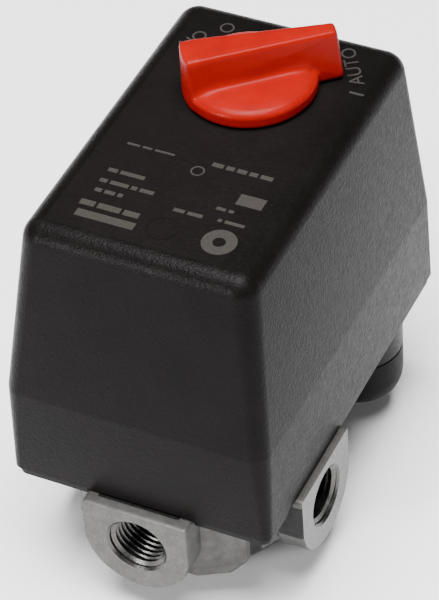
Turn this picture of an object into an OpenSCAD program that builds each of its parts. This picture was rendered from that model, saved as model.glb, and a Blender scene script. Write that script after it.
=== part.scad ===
// Pressure switch for a small air compressor: die-cast four-way manifold below,
// snap-action mechanism on a moulded base, tapered cover with a rotary selector on top.
// Millimetres. The origin is the middle of the tank port's mouth, +Z up, front at -Y.

/* [Cover] */
// Width of the cover at its bottom edge
cover_w = 60; // [56:1:76]
// Length of the cover from front to back
cover_l = 90; // [88:1:120]
// Height of the cover
cover_h = 64.3; // [60:0.1:84]
// Height of the upright lower part, below the crease
skirt_h = 23; // [16:0.5:28]
// Wall thickness of the cover
cover_wall = 2.2; // [1.6:0.1:2.6]
// How far each side leans in at the top
side_taper = 3.6; // [1:0.1:4]
// How far the front leans in at the top
front_taper = 6.4; // [1:0.1:8]
// How far the back leans in at the top
back_taper = 1.6; // [0:0.1:3]
// Plan radius of the upright corners
corner_r = 3; // [2.5:0.5:6]
// Radius of the rounded top edge
top_edge_r = 5; // [4:0.5:9]
// Distance from the port centre line to the front of the cover
front_reach = 25.6; // [24:0.1:32]

/* [Base] */
// Thickness of the rim that shows below the cover
rim_t = 2; // [1.5:0.1:3]
// How far the rim stands in from the cover
rim_inset = 0.6; // [0.3:0.1:1.2]
// Thickness of the floor
floor_t = 3; // [2.4:0.1:4]
// Height of the lip inside the cover, above the floor
lip_h = 3; // [2:0.5:4]
// Fit between the lip and the cover
lip_fit = 0.3; // [0.2:0.05:0.5]

/* [Manifold] */
// Height from the tank port's mouth to the top of the manifold
manifold_h = 28; // [26:0.5:36]
// Height of the side port axes above the tank port's mouth
port_z = 20.3; // [19:0.1:22]
// Corner radius of the twelve-sided bowl
bowl_r = 25.4; // [24.5:0.1:25.6]
// Height of the bowl's underside
bowl_z = 9.8; // [8:0.1:12]
// Distance from the centre line to the face of a side port
side_reach = 31.4; // [31:0.1:40]
// Distance from the centre line to the face of the front port
front_port_reach = 28.6; // [28:0.1:40]
// Radius of the rounded port bosses
port_boss_r = 12.2; // [10:0.1:12.4]
// Thickness of a port boss
port_boss_t = 6.2; // [5:0.1:7]
// Wrench size of the tank port
wrench_af = 24; // [20:1:27]

/* [Threads] */
// Bore radius of the ports, the crest radius of a quarter-inch pipe thread
port_bore_r = 5.72; // [5:0.01:6.5]
// Length of thread in each port
port_bore_l = 12; // [9:0.5:13]
// Radius of the countersink at a port's mouth
port_mouth_r = 7.1; // [6.8:0.1:8]
// Radius of the ducts between the ports
duct_r = 4; // [2.5:0.1:4.5]

/* [Diaphragm] */
// Radius of the diaphragm
diaphragm_r = 17.5; // [15:0.1:18]
// Thickness of the diaphragm
diaphragm_t = 1.6; // [1:0.1:2]
// Radius of the pressure plate
plate_r = 11; // [9:0.1:11.5]

/* [Cable entries] */
// Distance of each entry from the middle
gland_x = 18.5; // [17:0.1:19]
// Distance of the entries behind the port centre line
gland_y = 47; // [46:0.1:50]
// Outer radius of the sleeve and its nut
gland_r = 10.2; // [9:0.1:10.2]
// Radius of the threaded neck
neck_r = 8; // [7.6:0.1:8.5]
// Bore of the neck
neck_bore_r = 6.8; // [6:0.1:6.9]
// Radius of the cable hole in the seal
cable_r = 4; // [3:0.1:5]
// How far the nut's end lies below the base
gland_drop = 19.5; // [18:0.5:22]

/* [Selector] */
// Distance of the knob's axis behind the port centre line
knob_y = 38.4; // [37:0.1:40]
// Radius of the knob's skirt
knob_r = 14.4; // [12:0.1:16]
// Height of the knob above the cover
knob_h = 12.3; // [10:0.1:15]
// Thickness of the knob's skirt
knob_skirt_h = 4.4; // [3:0.1:6]
// Reach of the pointer from the axis
pointer_r = 18.6; // [16:0.1:20]
// Direction of the pointer when switched on, from +X towards +Y
knob_angle = 36; // [0:1:60]
// Radius of the selector shaft
shaft_r = 4; // [3:0.1:4.5]
// Radius of the spindle inside the knob
spindle_r = 2.2; // [1.6:0.1:2.4]
// Running fit of the shaft in its bearings
shaft_fit = 0.06; // [0.03:0.01:0.1]

/* [Mechanism] */
// Half the width between the cheeks of the frame
cheek_x = 19.5; // [19.2:0.1:20.5]
// Thickness of the frame's sheet
sheet_t = 1.5; // [1.2:0.1:2]
// Height of the frame
frame_h = 34.5; // [33:0.5:38]
// Distance of the lever's pivot in front of the centre line
pivot_y = 13; // [12:0.1:13.5]
// Radius of the pivot pin
pin_r = 2; // [1.5:0.1:2.2]
// Running fit of the pivot pin
pin_fit = 0.05; // [0.02:0.01:0.1]
// Radius of the range spring, to the wire's middle
range_spring_r = 8; // [7:0.1:9]
// Radius of the differential spring, to the wire's middle
diff_spring_r = 3.6; // [3:0.1:3.8]
// Distance of the differential screw behind the centre line
diff_y = 18.4; // [18:0.1:18.5]
// Radius of the screws that hold the manifold
stud_r = 2; // [1.5:0.1:2]
// Distance of those screws from the centre line, each way
stud_xy = 15.3; // [15:0.1:15.4]

/* [Contacts] */
// Distance of the contact carrier behind the centre line
carrier_y = 26; // [25.9:0.1:26.5]
// Half the width of the contact carrier
carrier_x = 14; // [13.5:0.1:14]
// Spacing of the contact strips
strip_pitch = 8; // [7.6:0.1:8]
// Width of a contact strip
strip_w = 4; // [3:0.1:4.4]
// Gap between the closed contact tips
tip_gap = 0.1; // [0.05:0.05:0.3]

/* [Hidden] */
$fn = 72;

// Overlap that makes joined shapes one solid
eps = 0.01;
// Clearance between pieces that don't touch
slack = 0.3;
// How far a cut runs on past a face
over = 1;
// Length of a cut that clears every wall in its way
through = 9;

// Levels of the case
base_z = manifold_h;
cover_z = base_z + rim_t;
floor_z = base_z + floor_t;
cover_y0 = -front_reach;
cover_y1 = cover_y0 + cover_l;
cover_top = cover_z + cover_h;
crease_z = cover_z + skirt_h;
ports = [[0, side_reach], [180, side_reach], [270, front_port_reach]];

// Cover screws, the bearing and clip of the shaft, and the clearances
screw_inset = 5.2;
screw_x = cover_w / 2 - screw_inset;
screw_y = [cover_y0 + screw_inset, cover_y1 - screw_inset];
screw_r = 1.75;
screw_head_r = 3.2;
screw_head_h = 2;
screw_l = 16;
bearing_h = 11;
bearing_z = cover_top - bearing_h - over;
clip_t = 0.8;
stud_gap = 0.2;
plate_gap = 1;
earth_depth = 2.2;
sleeve_h = 8;
dome_h = 5;
post_r = 3.2;
post_z = floor_z + lip_h + slack;
post_h = skirt_h;

// Pressure plate, rocker lever and its pivot
plate_z = base_z + slack;
plate_t = 2;
stem_r = 4;
lever_rise = 7.6;
lever_z = floor_z + lever_rise;
lever_t = 2;
lever_half_w = 12;
lever_lap = 2.5;
lever_end = carrier_y + lever_lap;
pivot_rise = 1.4;
pivot_z = lever_z + pivot_rise;
barrel_wall = 1.8;
barrel_r = pin_r + barrel_wall;
frame_top = floor_z + frame_h;

// Springs with their seats, nuts and adjusting screws
seat_z = lever_z + lever_t;
seat_t = 2;
nut_drop = 9.5;
nut_z = frame_top - nut_drop;
nut_t = 3;
wire_r = 1;
thin_wire_r = 0.6;
range_screw_r = 2.5;
diff_screw_r = 2;
head_gap = 0.1;

// Contact block: shelf, strips, towers and roof
shelf_rise = 10;
shelf_z = floor_z + shelf_rise;
shelf_t = 4;
strip_z = shelf_z + shelf_t;
strip_t = 1;
tip_r = 1.5;
tip_t = 0.6;
clamp_t = 1.2;
roof_rise = 15;
roof_z = strip_z + roof_rise;
roof_t = 4;
tower_gap = 0.8;
tower_x = carrier_x + tower_gap;
block_x = 24;
block_lead = 2.6;
block_y0 = carrier_y - block_lead;
tower_y1 = 38;
block_y1 = 54.5;
terminal_y = 49;
strip_x = [for (i = [-1.5:1:1.5]) i * strip_pitch];
strip_lead = 4.5;
strip_y0 = carrier_y + strip_lead;
tip_y = strip_y0 + 2;

// Earth screws in front of the frame
earth_x = 8;
earth_setback = 7.3;
earth_y = -front_reach + earth_setback;
earth_head_r = 2.6;
earth_head_h = 2;

// Moving contacts and their carrier
bridge_z = strip_z + strip_t + 2 * tip_t + tip_gap;
bridge_l = 4;
carrier_gap = 0.8;
carrier_z = seat_z + carrier_gap;
carrier_t = 3;
carrier_shelf_z = bridge_z + strip_t;

// Selector shaft with its cam, detent and release slide
slider_lift = 3;
cam_r = 9;
cam_t = 1;
cam_z = roof_z + roof_t + slack;
cam_steps = 9;
cam_lead = 22;
cam_margin = 0.6;
journal_r = shaft_r - 1;
detent_rise = 8;
detent_z = cam_z + detent_rise;
detent_r = cam_r - cam_margin;
detent_h = 4;
nib_r = 0.5;
leaf_t = 0.6;
follower_z = cam_z + cam_t + slack;
shaft_cap = 3.7;
shaft_top = cover_top + knob_h - shaft_cap;
knob_gap = 0.4;
knob_z = cover_top + knob_gap;
shoulder_depth = 2;
shoulder_z = knob_z + knob_skirt_h - shoulder_depth;

// Flat plate with round corners, its lowest corner at (-w/2, y0).
module rounded_plate(w, y0, y1, r, z, h) {
    translate([0, 0, z]) linear_extrude(h) {
        translate([-w / 2 + r, y0]) square([w - 2 * r, y1 - y0]);
        translate([-w / 2, y0 + r]) square([w, y1 - y0 - 2 * r]);
        for (x = [-w / 2 + r, w / 2 - r], y = [y0 + r, y1 - r])
            translate([x, y]) circle(r);
    }
}

// Block between two corners.
module span(a, b) {
    translate(a) cube(b - a);
}

// Round wire wound into an open coil that stands on z.
module coil(r, wire, turns, z, h) {
    sides = 8;
    rings_per_turn = 14;
    rings = turns * rings_per_turn;
    pitch = h - 2 * wire;
    pts = [for (i = [0:rings], k = [0:sides - 1])
        let (a = 360 * turns * i / rings, b = 360 * k / sides, q = r + wire * cos(b))
        [q * cos(a), q * sin(a), z + wire + pitch * i / rings + wire * sin(b)]];
    walls = [for (i = [0:rings - 1], k = [0:sides - 1])
        let (n = (k + 1) % sides)
        [i * sides + k, (i + 1) * sides + k, (i + 1) * sides + n, i * sides + n]];
    first = [[for (k = [0:sides - 1]) k]];
    last = [[for (k = [sides - 1:-1:0]) rings * sides + k]];
    polyhedron(pts, concat(walls, first, last));
}

// Screw that points down: head on z, shank of length l below it.
module screw(head_r, head_h, r, l, z) {
    slot_w = 0.8;
    difference() {
        translate([0, 0, z]) cylinder(r = head_r, h = head_h);
        translate([-head_r, -slot_w / 2, z + head_h / 2]) cube([2 * head_r, slot_w, head_h]);
    }
    translate([0, 0, z - l]) cylinder(r = r, h = l + eps);
}

// Flat retaining clip on z = 0, a band of width w round radius r, open at one side.
module clip(r, w) {
    mouth = 2;
    cut_h = clip_t + 2 * over;
    difference() {
        cylinder(r = r + w, h = clip_t);
        translate([0, 0, -over]) cylinder(r = r, h = cut_h);
        translate([-mouth / 2, 0, -over]) cube([mouth, r + w + over, cut_h]);
    }
}

// Outer form of the cover, drawn in by a wall's thickness for the inside.
module cover_form(inset, low) {
    ball_sides = 32;
    least_r = 1;
    w = cover_w - 2 * inset;
    r = max(corner_r - inset, least_r);
    e = max(top_edge_r - inset, least_r);
    y0 = cover_y0 + inset;
    y1 = cover_y1 - inset;
    rounded_plate(w, y0, y1, r, cover_z - low, skirt_h + low);
    top = cover_top - inset;
    hull() {
        rounded_plate(w, y0, y1, r, crease_z - eps, eps, $fn = ball_sides);
        for (side = [-1, 1]) {
            x = side * (w / 2 - side_taper - e);
            translate([x, y0 + front_taper + e, top - e]) sphere(e, $fn = ball_sides);
            translate([x, y1 - back_taper - e, top - e]) sphere(e, $fn = ball_sides);
        }
    }
}

module cover() {
    bearing_wall = 3;
    color([0.12, 0.12, 0.12]) difference() {
        union() {
            difference() {
                cover_form(0, 0);
                cover_form(cover_wall, over);
            }
            for (x = [-screw_x, screw_x], y = screw_y)
                translate([x, y, post_z]) cylinder(r = post_r, h = post_h);
            translate([0, knob_y, bearing_z]) cylinder(r = shaft_r + bearing_wall, h = bearing_h);
        }
        translate([0, knob_y, bearing_z - over])
            cylinder(r = shaft_r + shaft_fit, h = bearing_h + through);
        for (x = [-screw_x, screw_x], y = screw_y)
            translate([x, y, cover_z]) cylinder(r = screw_r, h = screw_l);
    }
}

// Straight-sided boss with a flat top and a round lower half, its face at x = reach.
module port_boss(reach, r, t) {
    top = cover_z - slack;
    intersection() {
        translate([reach - t, 0, port_z]) rotate([0, 90, 0]) cylinder(r = r, h = t);
        span([reach - t, -r, port_z - r], [reach, r, port_z + eps]);
    }
    span([reach - t, -r, port_z], [reach, r, top]);
}

module port_bore(reach) {
    cone = port_mouth_r - port_bore_r;
    translate([0, 0, port_z]) rotate([0, 90, 0]) cylinder(r = duct_r, h = reach);
    translate([reach - port_bore_l, 0, port_z]) rotate([0, 90, 0])
        cylinder(r = port_bore_r, h = port_bore_l + over);
    translate([reach - cone, 0, port_z]) rotate([0, 90, 0])
        cylinder(r1 = port_bore_r, r2 = port_mouth_r, h = cone);
}

// Web on both sides of the front port, with its outer lower corners cut off.
module front_web() {
    back = -8;
    outer = 19.8;
    shoulder = -16.6;
    low = port_z - port_boss_r;
    lap = 0.4;
    front = -front_port_reach + port_boss_t + lap;
    half_front = port_boss_r - 2;
    cut = [3, 4.4];
    intersection() {
        translate([0, 0, low]) linear_extrude(manifold_h - low) polygon([
            [-outer, back], [-outer, shoulder], [-half_front, front],
            [half_front, front], [outer, shoulder], [outer, back]]);
        rotate([90, 0, 0]) translate([0, 0, -back]) linear_extrude(front_port_reach) polygon([
            [-outer, manifold_h], [-outer, low + cut[1]], [-outer + cut[0], low],
            [outer - cut[0], low], [outer, low + cut[1]], [outer, manifold_h]]);
    }
}

module manifold() {
    bowl_sides = 12;
    chamber_h = 3;
    chamber_z = manifold_h - diaphragm_t - chamber_h;
    stud_hole_l = 9;
    neck_step = 1.4;
    root_x = 17;
    color([0.72, 0.71, 0.70]) difference() {
        union() {
            rotate([0, 0, 180 / bowl_sides]) translate([0, 0, bowl_z])
                cylinder(r = bowl_r, h = manifold_h - bowl_z, $fn = bowl_sides);
            cylinder(r = wrench_af / sqrt(3), h = bowl_z + over, $fn = 6);
            front_web();
            for (p = ports) rotate([0, 0, p[0]]) {
                port_boss(p[1], port_boss_r, port_boss_t);
                port_boss(p[1] - over, port_boss_r - neck_step, p[1] - over - root_x);
            }
        }
        span([-bowl_r, -bowl_r, manifold_h], [bowl_r + eps, bowl_r, cover_z]);
        for (p = ports) rotate([0, 0, p[0]]) port_bore(p[1]);
        cylinder(r = duct_r, h = chamber_z + eps);
        translate([0, 0, -over]) cylinder(r = port_bore_r, h = port_bore_l + over);
        translate([0, 0, chamber_z]) cylinder(r = plate_r + plate_gap, h = manifold_h);
        translate([0, 0, manifold_h - diaphragm_t]) cylinder(r = diaphragm_r, h = manifold_h);
        for (x = [-stud_xy, stud_xy], y = [-stud_xy, stud_xy])
            translate([x, y, manifold_h - stud_hole_l])
                cylinder(r = stud_r, h = stud_hole_l + over);
    }
}

module base() {
    lip_w = cover_w - 2 * (cover_wall + lip_fit);
    lip_y0 = cover_y0 + cover_wall + lip_fit;
    lip_y1 = cover_y1 - cover_wall - lip_fit;
    lip_t = 2;
    lip_r = max(corner_r - cover_wall - lip_fit, 1);
    inner_r = max(lip_r - lip_t, 0.5);
    color([0.1, 0.1, 0.1]) difference() {
        union() {
            rounded_plate(cover_w - 2 * rim_inset, cover_y0 + rim_inset, cover_y1 - rim_inset,
                corner_r - rim_inset, base_z, rim_t);
            rounded_plate(lip_w, lip_y0, lip_y1, lip_r, base_z, floor_t + lip_h);
            for (x = [-gland_x, gland_x]) translate([x, gland_y, 0]) {
                translate([0, 0, base_z - sleeve_h]) cylinder(r = gland_r, h = sleeve_h + eps);
                translate([0, 0, base_z - gland_drop + dome_h])
                    cylinder(r = neck_r, h = gland_drop - dome_h - sleeve_h / 2);
            }
        }
        rounded_plate(lip_w - 2 * lip_t, lip_y0 + lip_t, lip_y1 - lip_t,
            inner_r, floor_z, lip_h + over);
        for (x = [-gland_x, gland_x]) translate([x, gland_y, 0])
            cylinder(r = neck_bore_r, h = cover_z + through);
        cylinder(r = plate_r + plate_gap, h = cover_z + through);
        for (x = [-stud_xy, stud_xy], y = [-stud_xy, stud_xy])
            translate([x, y, 0]) cylinder(r = stud_r + stud_gap, h = cover_z + through);
        for (x = [-screw_x, screw_x], y = screw_y) translate([x, y, 0]) {
            cylinder(r = screw_r, h = cover_z + through);
            cylinder(r = screw_head_r + slack, h = base_z);
        }
        for (x = [-earth_x, earth_x])
            translate([x, earth_y, floor_z - earth_depth - stud_gap])
                cylinder(r = screw_r, h = earth_depth + over);
        for (p = ports) rotate([0, 0, p[0]])
            span([p[1] - port_boss_t - slack, -port_boss_r - slack, base_z - over],
                [p[1] + over, port_boss_r + slack, cover_z]);
    }
}

module manifold_screws() {
    head_r = 3.4;
    head_h = 2.5;
    length = 12;
    color("silver") for (x = [-stud_xy, stud_xy], y = [-stud_xy, stud_xy])
        translate([x, y, 0]) screw(head_r, head_h, stud_r, length, floor_z + sheet_t);
}

module cover_screws() {
    color("silver") for (x = [-screw_x, screw_x], y = screw_y)
        translate([x, y, base_z]) rotate([180, 0, 0])
            screw(screw_head_r, screw_head_h, screw_r, screw_l, 0);
}

module diaphragm() {
    color([0.15, 0.13, 0.12]) translate([0, 0, manifold_h - diaphragm_t])
        cylinder(r = diaphragm_r, h = diaphragm_t);
}

module pressure_plate() {
    stem_gap = 0.5;
    color("silver") translate([0, 0, plate_z]) {
        cylinder(r = plate_r, h = plate_t);
        cylinder(r = stem_r, h = lever_z - plate_z - stem_gap);
    }
}

module frame() {
    w = cheek_x + sheet_t;
    reach = 16.5;
    step_y = 2;
    bracket_x = 7;
    bracket_end = diff_y + 4;
    color([0.75, 0.75, 0.72]) difference() {
        union() {
            span([-w, -reach, floor_z], [w, reach + step_y, floor_z + sheet_t]);
            span([-earth_x - earth_head_r, earth_y - earth_head_r, floor_z],
                [earth_x + earth_head_r, 0, floor_z + sheet_t]);
            for (x = [-w, cheek_x])
                span([x, -reach, floor_z], [x + sheet_t, reach, frame_top]);
            span([-w, -reach + step_y, frame_top - sheet_t], [w, reach, frame_top]);
            span([-bracket_x, 0, frame_top - sheet_t], [bracket_x, bracket_end, frame_top]);
        }
        cylinder(r = plate_r + plate_gap, h = floor_z + through);
        translate([0, 0, frame_top - through / 2])
            cylinder(r = range_screw_r + slack, h = through);
        translate([0, diff_y, frame_top - through / 2])
            cylinder(r = diff_screw_r + slack, h = through);
        for (x = [-stud_xy, stud_xy], y = [-stud_xy, stud_xy])
            translate([x, y, floor_z - over])
                cylinder(r = stud_r + stud_gap, h = sheet_t + 2 * over);
        for (x = [-earth_x, earth_x])
            translate([x, earth_y, floor_z - over]) cylinder(r = screw_r, h = sheet_t + 2 * over);
        translate([-w - over, -pivot_y, pivot_z]) rotate([0, 90, 0])
            cylinder(r = pin_r, h = 2 * (w + over));
    }
}

module rocker_lever() {
    side_gap = 1;
    half_l = cheek_x - side_gap;
    color([0.8, 0.8, 0.78]) difference() {
        union() {
            span([-lever_half_w, -pivot_y, lever_z], [lever_half_w, lever_end, lever_z + lever_t]);
            translate([-half_l, -pivot_y, pivot_z]) rotate([0, 90, 0])
                cylinder(r = barrel_r, h = 2 * half_l);
        }
        translate([-half_l - over, -pivot_y, pivot_z]) rotate([0, 90, 0])
            cylinder(r = pin_r + pin_fit, h = 2 * (half_l + over));
    }
}

module pivot_pin() {
    end = 2;
    half_l = cheek_x + sheet_t + end;
    color("silver") translate([-half_l, -pivot_y, pivot_z]) rotate([0, 90, 0])
        cylinder(r = pin_r, h = 2 * half_l);
}

module pivot_clips() {
    x = cheek_x + sheet_t;
    band = 1.6;
    color([0.3, 0.3, 0.3]) for (side = [0, 180]) rotate([0, 0, side])
        translate([x, side == 0 ? -pivot_y : pivot_y, pivot_z]) rotate([0, 90, 0])
            clip(pin_r, band);
}

module spring_seat() {
    spigot_h = 1.5;
    color("silver") translate([0, 0, seat_z]) {
        cylinder(r = range_spring_r + wire_r, h = seat_t);
        translate([0, 0, seat_t - eps]) 
            cylinder(r = range_spring_r - wire_r - slack, h = spigot_h);
    }
}

module range_spring() {
    low = seat_z + seat_t + slack;
    turns = 4.5;
    color([0.45, 0.46, 0.48]) coil(range_spring_r, wire_r, turns, low, nut_z - slack - low);
}

module range_nut() {
    half_w = cheek_x - slack;
    half_l = 10;
    color([0.8, 0.68, 0.35]) difference() {
        span([-half_w, -half_l, nut_z], [half_w, half_l, nut_z + nut_t]);
        translate([0, 0, nut_z - over])
            cylinder(r = range_screw_r + pin_fit, h = nut_t + 2 * over);
    }
}

module range_screw() {
    head_r = 4;
    head_h = 3;
    end_gap = 3.5;
    color("silver") screw(head_r, head_h, range_screw_r,
        frame_top - seat_z - seat_t - end_gap, frame_top + head_gap);
}

module diff_spring() {
    low = seat_z + slack;
    turns = 6;
    color([0.45, 0.46, 0.48]) translate([0, diff_y, 0])
        coil(diff_spring_r, thin_wire_r, turns, low, nut_z - slack - low);
}

module diff_nut() {
    half = diff_spring_r + thin_wire_r;
    color([0.8, 0.68, 0.35]) difference() {
        span([-half, diff_y - half, nut_z], [half, diff_y + half, nut_z + nut_t]);
        translate([0, diff_y, nut_z - over])
            cylinder(r = diff_screw_r + pin_fit, h = nut_t + 2 * over);
    }
}

module diff_screw() {
    head_r = 3.2;
    head_h = 2.5;
    end_gap = 6;
    color("silver") translate([0, diff_y, 0])
        screw(head_r, head_h, diff_screw_r, frame_top - seat_z - end_gap, frame_top + head_gap);
}

module contact_block() {
    shelf_x = 2 * strip_pitch;
    shelf_y0 = tower_y1 - 3;
    roof_y1 = knob_y + 8;
    color([0.82, 0.78, 0.68]) difference() {
        union() {
            for (x = [-block_x, tower_x])
                span([x, block_y0, floor_z], [x + block_x - tower_x, tower_y1, roof_z + eps]);
            span([-block_x, carrier_y, roof_z], [block_x, roof_y1, roof_z + roof_t]);
            span([-block_x, shelf_y0, shelf_z], [block_x, tower_y1, shelf_z + shelf_t]);
            span([-shelf_x, shelf_y0, shelf_z], [shelf_x, block_y1, shelf_z + shelf_t]);
        }
        for (x = strip_x)
            translate([x, terminal_y, shelf_z - over])
                cylinder(r = screw_r, h = shelf_t + 2 * over);
        translate([0, knob_y, roof_z - over])
            cylinder(r = journal_r + shaft_fit, h = roof_t + 2 * over);
    }
}

module fixed_contacts() {
    strip_y1 = terminal_y + 4;
    color([0.8, 0.6, 0.3]) for (x = strip_x) difference() {
        union() {
            span([x - strip_w / 2, strip_y0, strip_z],
                [x + strip_w / 2, strip_y1, strip_z + strip_t]);
            translate([x, tip_y, strip_z + strip_t - eps])
                cylinder(r = tip_r, h = tip_t + eps);
        }
        translate([x, terminal_y, strip_z - over])
            cylinder(r = screw_r, h = strip_t + 2 * over);
    }
}

module contact_carrier() {
    top = carrier_shelf_z + carrier_t;
    peg_r = 2;
    peg_h = 2;
    color([0.55, 0.2, 0.15]) union() {
        span([-carrier_x, carrier_y, carrier_z], [carrier_x, carrier_y + carrier_t, top]);
        span([-carrier_x, carrier_y, carrier_shelf_z], [carrier_x, strip_y0 + bridge_l, top]);
        translate([0, strip_y0, top - eps]) cylinder(r = peg_r, h = peg_h);
    }
}

module bridge_contacts() {
    half = strip_pitch / 2 + strip_w / 2;
    inset = 0.4;
    color([0.85, 0.65, 0.35]) for (side = [-1, 1]) {
        mid = side * strip_pitch;
        span([mid - half, strip_y0 + inset, bridge_z],
            [mid + half, strip_y0 + bridge_l - inset, carrier_shelf_z]);
        for (x = [mid - strip_pitch / 2, mid + strip_pitch / 2])
            translate([x, tip_y, bridge_z - tip_t]) cylinder(r = tip_r, h = tip_t + eps);
    }
}

module contact_spring() {
    low = carrier_shelf_z + carrier_t + slack;
    coil_r = 3.2;
    wire = 0.5;
    turns = 4;
    color([0.5, 0.5, 0.52]) translate([0, strip_y0, 0])
        coil(coil_r, wire, turns, low, roof_z - slack - low);
}

module terminal_plates() {
    gap = 0.8;
    half = strip_pitch / 2 - gap;
    z = strip_z + strip_t;
    color([0.8, 0.8, 0.75]) for (x = strip_x) difference() {
        span([x - half, terminal_y - half, z], [x + half, terminal_y + half, z + clamp_t]);
        translate([x, terminal_y, z - over]) cylinder(r = screw_r, h = clamp_t + 2 * over);
    }
}

module terminal_screws() {
    head_r = 2.8;
    head_h = 2;
    length = 8;
    color("silver") for (x = strip_x)
        translate([x, terminal_y, 0])
            screw(head_r, head_h, screw_r, length, strip_z + strip_t + clamp_t);
}

module earth_screws() {
    color([0.8, 0.68, 0.35]) for (x = [-earth_x, earth_x])
        translate([x, earth_y, 0]) screw(earth_head_r, earth_head_h, screw_r,
            sheet_t + earth_depth, floor_z + sheet_t);
}

// Plan of the handle along +X, widest over the skirt and narrow at the pointer.
module handle_plan(back, tip, back_w, tip_w) {
    polygon([[-back, -back_w], [tip, -tip_w], [tip, tip_w], [-back, back_w]]);
}

module knob() {
    edge = 1.6;
    rim = knob_skirt_h - edge;
    slab = 0.5;
    foot_back = knob_r + 1;
    foot_tip = pointer_r + 1.2;
    foot_w = [6.4, 2.9];
    top_w = [4.2, 1.8];
    trim = 0.2;
    translate([0, knob_y, knob_z]) rotate([0, 0, knob_angle]) color([0.86, 0.16, 0.12]) difference() {
        union() {
            cylinder(r = knob_r, h = rim);
            rotate_extrude() {
                translate([knob_r - edge, rim - eps]) intersection() {
                    circle(edge);
                    square(edge);
                }
                translate([0, rim - eps]) square([knob_r - edge, edge]);
            }
            intersection() {
                hull() {
                    linear_extrude(slab) handle_plan(foot_back, foot_tip, foot_w[0], foot_w[1]);
                    translate([0, 0, knob_h - knob_gap - slab]) linear_extrude(slab)
                        handle_plan(knob_r, pointer_r, top_w[0], top_w[1]);
                }
                union() {
                    cylinder(r = knob_r - trim, h = knob_h);
                    span([0, -knob_r, 0], [foot_tip + over, knob_r, knob_h]);
                }
            }
        }
        translate([0, 0, -over]) cylinder(r = shaft_r, h = shoulder_z - knob_z + over);
        cylinder(r = spindle_r, h = shaft_top - knob_z);
    }
}

module selector_shaft() {
    step = 90 / cam_steps;
    lower = cam_z + cam_t;
    ramp_r = cam_r - cam_margin;
    lap = 0.4;
    half = step / 2 + lap;
    journal_z = roof_z + 0.5;
    notch_r = 1;
    color([0.9, 0.88, 0.82]) translate([0, knob_y, 0]) difference() {
        union() {
            translate([0, 0, journal_z]) cylinder(r = journal_r, h = cam_z - journal_z + over);
            translate([0, 0, cam_z]) cylinder(r = shaft_r, h = shoulder_z - cam_z);
            translate([0, 0, cam_z]) cylinder(r = spindle_r, h = shaft_top - cam_z);
            translate([0, 0, cam_z]) cylinder(r = cam_r, h = cam_t);
            translate([0, 0, detent_z]) cylinder(r = detent_r, h = detent_h);
            for (i = [1:cam_steps - 1]) rotate([0, 0, -45 - cam_lead - i * step])
                translate([0, 0, lower - eps]) linear_extrude(slider_lift * i / cam_steps)
                    polygon([[notch_r, 0], [ramp_r * cos(half), -ramp_r * sin(half)],
                        [ramp_r * cos(half), ramp_r * sin(half)]]);
        }
        for (a = [0:90:270]) rotate([0, 0, a]) translate([-cam_r, 0, detent_z - over])
            cylinder(r = notch_r, h = detent_h + 2 * over);
    }
}

module shaft_clip() {
    band = 2;
    color([0.3, 0.3, 0.3]) translate([0, knob_y, bearing_z - clip_t - knob_gap])
        clip(shaft_r, band);
}

module detent_spring() {
    x = -cam_r - slack;
    low = roof_z + roof_t;
    half = 7;
    foot = 5;
    color([0.7, 0.72, 0.75]) union() {
        span([x - leaf_t, knob_y - half, low], [x, knob_y + half, detent_z + detent_h]);
        span([x - foot, knob_y - half, low], [x - leaf_t + eps, knob_y + half, low + leaf_t]);
        translate([x, knob_y, detent_z]) cylinder(r = nib_r, h = detent_h);
    }
}

module off_slider() {
    y = block_y0 + slack;
    t = 1.8;
    foot_top = carrier_z - slider_lift - slack;
    foot_z = foot_top - 1.5;
    half_w = tower_x - slack;
    gap = 0.8;
    foot_w = half_w - lever_half_w - gap;
    arm_x = [5, 8];
    arm_t = 2;
    arm_end = knob_y - 5;
    window_x = lever_half_w + 0.5;
    window_top = roof_z - 6;
    color([0.25, 0.35, 0.6]) difference() {
        union() {
            span([-half_w, y, foot_z], [half_w, y + t, follower_z + slider_lift]);
            for (x = [-half_w, half_w - foot_w])
                span([x, y, foot_z], [x + foot_w, carrier_y + t, foot_top]);
            span([arm_x[0], y, follower_z], [arm_x[1], arm_end, follower_z + arm_t]);
        }
        span([-window_x, y - over, foot_z - over], [window_x, y + t + over, window_top]);
    }
}

// Nut of a cable entry: straight sleeve with a rounded lower end.
module gland_nut(x) {
    low = base_z - gland_drop;
    hole_r = cable_r + 1.4;
    end_t = 2;
    nose_r = gland_r - 1.8;
    belly_r = gland_r - 0.5;
    color([0.08, 0.08, 0.08]) translate([x, gland_y, low]) difference() {
        rotate_extrude() union() {
            polygon([[hole_r, 0], [nose_r, 0], [belly_r, end_t], [gland_r, dome_h],
                [hole_r, dome_h]]);
            translate([hole_r, dome_h - eps]) 
                square([gland_r - hole_r, gland_drop - sleeve_h - dome_h]);
        }
        translate([0, 0, dome_h]) cylinder(r = neck_r, h = gland_drop);
        translate([0, 0, end_t]) cylinder(r = neck_bore_r, h = gland_drop);
    }
}

module gland_nut_left() {
    gland_nut(-gland_x);
}

module gland_nut_right() {
    gland_nut(gland_x);
}

module gland_seals() {
    seal_h = 8;
    seal_z = base_z - gland_drop + 2;
    color([0.3, 0.3, 0.3]) for (x = [-gland_x, gland_x])
        translate([x, gland_y, seal_z]) difference() {
            cylinder(r = neck_bore_r, h = seal_h);
            translate([0, 0, -over]) cylinder(r = cable_r, h = seal_h + 2 * over);
        }
}

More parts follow.
